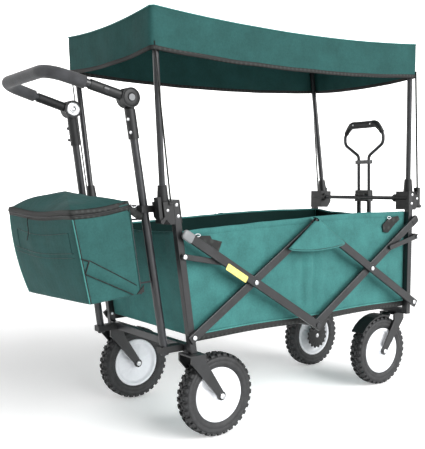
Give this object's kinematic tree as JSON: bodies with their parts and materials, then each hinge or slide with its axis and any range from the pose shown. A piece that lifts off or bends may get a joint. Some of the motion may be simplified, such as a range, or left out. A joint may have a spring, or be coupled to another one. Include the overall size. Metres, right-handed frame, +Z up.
{
  "type": "folding pull wagon",
  "caption": "Folding wagon with scissor sides, fabric basket, box canopy on poles, angled push handle with storage bag, telescoping pull handle and swivel wheels.",
  "frame": {"origin": "on the ground, below the middle of the whole wagon's bounding box", "axes": "+X towards the pull handle's end, +Y across to the far side, +Z up"},
  "size_m": [1.335, 0.53, 1.153],
  "materials": {
    "black_tube": "satin",
    "black_plastic": "satin",
    "zinc_fastener": "satin",
    "grey_plastic": "satin",
    "white_plastic": "gloss",
    "tyre_rubber": "matte",
    "foam": "matte",
    "grip_rubber": "matte",
    "green_canvas": "matte",
    "floor_mat": "matte"
  },
  "bodies": {
    "push_end": {"push_posts": "black_tube", "push_crossbars": "black_tube", "push_pivot_pins": "zinc_fastener", "push_corner_brackets": "black_plastic", "push_canopy_poles": "black_tube", "push_tubes": "black_tube", "push_hinge_sleeves": "black_plastic", "push_tube_saddles": "black_plastic", "bag_wire_frame": "black_tube", "storage_bag": "green_canvas", "basket_liner": "green_canvas", "floor_board": "floor_mat"},
    "pull_end": {"pull_posts": "black_tube", "pull_crossbars": "black_tube", "pull_pivot_pins": "zinc_fastener", "pull_corner_brackets": "black_plastic", "pull_canopy_poles": "black_tube"},
    "push_rising": {"push_rising_bars": "black_tube", "push_crossing_pins": "zinc_fastener"},
    "push_falling": {"push_falling_bars": "black_tube", "centre_cross_tube": "black_tube"},
    "pull_falling": {"pull_falling_bars": "black_tube", "pull_crossing_pins": "zinc_fastener"},
    "pull_rising": {"pull_rising_bars": "black_tube"},
    "push_links": {"push_side_links": "black_tube"},
    "pull_links": {"pull_side_links": "black_tube"},
    "canopy": {"canopy_cover": "green_canvas"},
    "bag_lid": {"bag_lid": "green_canvas"},
    "push_handle": {"push_handle_tube": "black_tube", "push_foam_grip": "foam", "handle_hinge_sleeves": "black_plastic"},
    "hinge_button_near": {"hinge_button_near": "grey_plastic"},
    "hinge_button_far": {"hinge_button_far": "grey_plastic"},
    "pull_handle": {"pull_outer_tubes": "black_tube", "pull_pivot_bolt": "zinc_fastener", "pull_handle_clip": "black_plastic"},
    "pull_grip": {"pull_loop_tube": "black_tube", "pull_grip": "grip_rubber"},
    "push_near_lever": {"push_clamp_lever_near": "black_plastic"},
    "push_near_caster": {"push_near_caster_fork": "black_plastic", "push_near_axle_bolt": "zinc_fastener"},
    "push_near_wheel": {"push_near_wheel": "white_plastic", "push_near_tyre": "tyre_rubber"},
    "push_far_lever": {"push_clamp_lever_far": "black_plastic"},
    "push_far_caster": {"push_far_caster_fork": "black_plastic", "push_far_axle_bolt": "zinc_fastener"},
    "push_far_wheel": {"push_far_wheel": "white_plastic", "push_far_tyre": "tyre_rubber"},
    "pull_near_lever": {"pull_clamp_lever_near": "black_plastic"},
    "pull_near_caster": {"pull_near_caster_fork": "black_plastic", "pull_near_axle_bolt": "zinc_fastener"},
    "pull_near_wheel": {"pull_near_wheel": "white_plastic", "pull_near_tyre": "tyre_rubber"},
    "pull_far_lever": {"pull_clamp_lever_far": "black_plastic"},
    "pull_far_caster": {"pull_far_caster_fork": "black_plastic", "pull_far_axle_bolt": "zinc_fastener"},
    "pull_far_wheel": {"pull_far_wheel": "white_plastic", "pull_far_tyre": "tyre_rubber"},
    "pull_near_brake": {"pull_near_brake_pedal": "black_plastic"},
    "pull_far_brake": {"pull_far_brake_pedal": "black_plastic"}
  },
  "joints": [
    {"name": "fold", "type": "hinge", "parent": "push_end", "child": "push_rising", "pos_m": [-0.293, 0, 0.286], "axis": [0, -1, 0], "range_deg": [0, 44], "deforming": ["basket_liner", "floor_board", "canopy_cover"]},
    {"name": "push_crossing", "type": "hinge", "parent": "push_rising", "child": "push_falling", "pos_m": [-0.08677, 0, 0.41739], "axis": [0, -1, 0], "range_deg": [-88, 0]},
    {"name": "centre", "type": "hinge", "parent": "push_falling", "child": "pull_falling", "pos_m": [0.154, 0, 0.264], "axis": [0, -1, 0], "range_deg": [0, 88]},
    {"name": "pull_crossing", "type": "hinge", "parent": "pull_falling", "child": "pull_rising", "pos_m": [0.39477, 0, 0.41739], "axis": [0, -1, 0], "range_deg": [-88, 0]},
    {"name": "pull_foot", "type": "hinge", "parent": "pull_rising", "child": "pull_end", "pos_m": [0.601, 0, 0.286], "axis": [0, -1, 0], "range_deg": [0, 44]},
    {"name": "push_link", "type": "hinge", "parent": "push_end", "child": "push_links", "pos_m": [-0.32005, 0, 0.50635], "axis": [0, -1, 0], "range_deg": [0, 77.28]},
    {"name": "pull_link", "type": "hinge", "parent": "pull_end", "child": "pull_links", "pos_m": [0.62074, 0, 0.50745], "axis": [0, 1, 0], "range_deg": [0, 80.97]},
    {"name": "canopy_lift", "type": "slide", "parent": "push_end", "child": "canopy", "axis": [0, 0, 1], "range_m": [0, 0.2]},
    {"name": "bag_lid_hinge", "type": "hinge", "parent": "push_end", "child": "bag_lid", "pos_m": [-0.458, 0, 0.653], "axis": [0, 1, 0], "range_deg": [0, 90]},
    {"name": "handle_tilt", "type": "hinge", "parent": "push_end", "child": "push_handle", "pos_m": [-0.439, 0, 0.924], "axis": [0, 1, 0], "range_deg": [-52, 60]},
    {"name": "hinge_button_near_press", "type": "slide", "parent": "push_handle", "child": "hinge_button_near", "axis": [0, 1, 0], "range_m": [0, 0.0015], "stiffness_N_per_m": 400},
    {"name": "hinge_button_far_press", "type": "slide", "parent": "push_handle", "child": "hinge_button_far", "axis": [0, -1, 0], "range_m": [0, 0.0015], "stiffness_N_per_m": 400},
    {"name": "pull_swing", "type": "hinge", "parent": "pull_end", "child": "pull_handle", "pos_m": [0.641, 0, 0.262], "axis": [0, 1, 0], "range_deg": [0, 95]},
    {"name": "pull_extend", "type": "slide", "parent": "pull_handle", "child": "pull_grip", "axis": [0, 0, 1], "range_m": [0, 0.18]},
    {"name": "push_near_clamp", "type": "hinge", "parent": "push_end", "child": "push_near_lever", "pos_m": [-0.38013, 0, 0.60174], "axis": [0, -1, 0], "range_deg": [0, 70]},
    {"name": "push_far_clamp", "type": "hinge", "parent": "push_end", "child": "push_far_lever", "pos_m": [-0.38013, 0, 0.60174], "axis": [0, -1, 0], "range_deg": [0, 70]},
    {"name": "pull_near_clamp", "type": "hinge", "parent": "pull_end", "child": "pull_near_lever", "pos_m": [0.66028, 0, 0.60813], "axis": [0, 1, 0], "range_deg": [0, 70]},
    {"name": "pull_far_clamp", "type": "hinge", "parent": "pull_end", "child": "pull_far_lever", "pos_m": [0.66028, 0, 0.60813], "axis": [0, 1, 0], "range_deg": [0, 70]},
    {"name": "push_near_swivel", "type": "hinge", "parent": "push_end", "child": "push_near_caster", "pos_m": [-0.28764, -0.228, 0.116], "axis": [0, 0, 1], "continuous": true},
    {"name": "push_near_roll", "type": "hinge", "parent": "push_near_caster", "child": "push_near_wheel", "pos_m": [-0.21364, -0.228, 0.116], "axis": [0, 1, 0], "continuous": true},
    {"name": "push_far_swivel", "type": "hinge", "parent": "push_end", "child": "push_far_caster", "pos_m": [-0.28764, 0.228, 0.116], "axis": [0, 0, 1], "continuous": true},
    {"name": "push_far_roll", "type": "hinge", "parent": "push_far_caster", "child": "push_far_wheel", "pos_m": [-0.21364, 0.228, 0.116], "axis": [0, 1, 0], "continuous": true},
    {"name": "pull_near_swivel", "type": "hinge", "parent": "pull_end", "child": "pull_near_caster", "pos_m": [0.59981, -0.165, 0.116], "axis": [0, 0, 1], "continuous": true},
    {"name": "pull_near_roll", "type": "hinge", "parent": "pull_near_caster", "child": "pull_near_wheel", "pos_m": [0.52581, -0.165, 0.116], "axis": [0, 1, 0], "continuous": true},
    {"name": "pull_far_swivel", "type": "hinge", "parent": "pull_end", "child": "pull_far_caster", "pos_m": [0.59981, 0.165, 0.116], "axis": [0, 0, 1], "continuous": true},
    {"name": "pull_far_roll", "type": "hinge", "parent": "pull_far_caster", "child": "pull_far_wheel", "pos_m": [0.52581, 0.165, 0.116], "axis": [0, 1, 0], "continuous": true},
    {"name": "pull_near_brake", "type": "hinge", "parent": "pull_near_caster", "child": "pull_near_brake", "pos_m": [0.56881, -0.165, 0.234], "axis": [0, 1, 0], "range_deg": [0, 12]},
    {"name": "pull_far_brake", "type": "hinge", "parent": "pull_far_caster", "child": "pull_far_brake", "pos_m": [0.56881, 0.165, 0.234], "axis": [0, 1, 0], "range_deg": [0, 12]}
  ],
  "couplings": [
    {"joint": "push_crossing", "follows": "fold", "ratio": -2},
    {"joint": "centre", "follows": "fold", "ratio": 2},
    {"joint": "pull_crossing", "follows": "fold", "ratio": -2},
    {"joint": "pull_foot", "follows": "fold", "ratio": 1},
    {"joint": "push_link", "follows": "fold", "ratio": 1.7561},
    {"joint": "pull_link", "follows": "fold", "ratio": 1.8401}
  ]
}
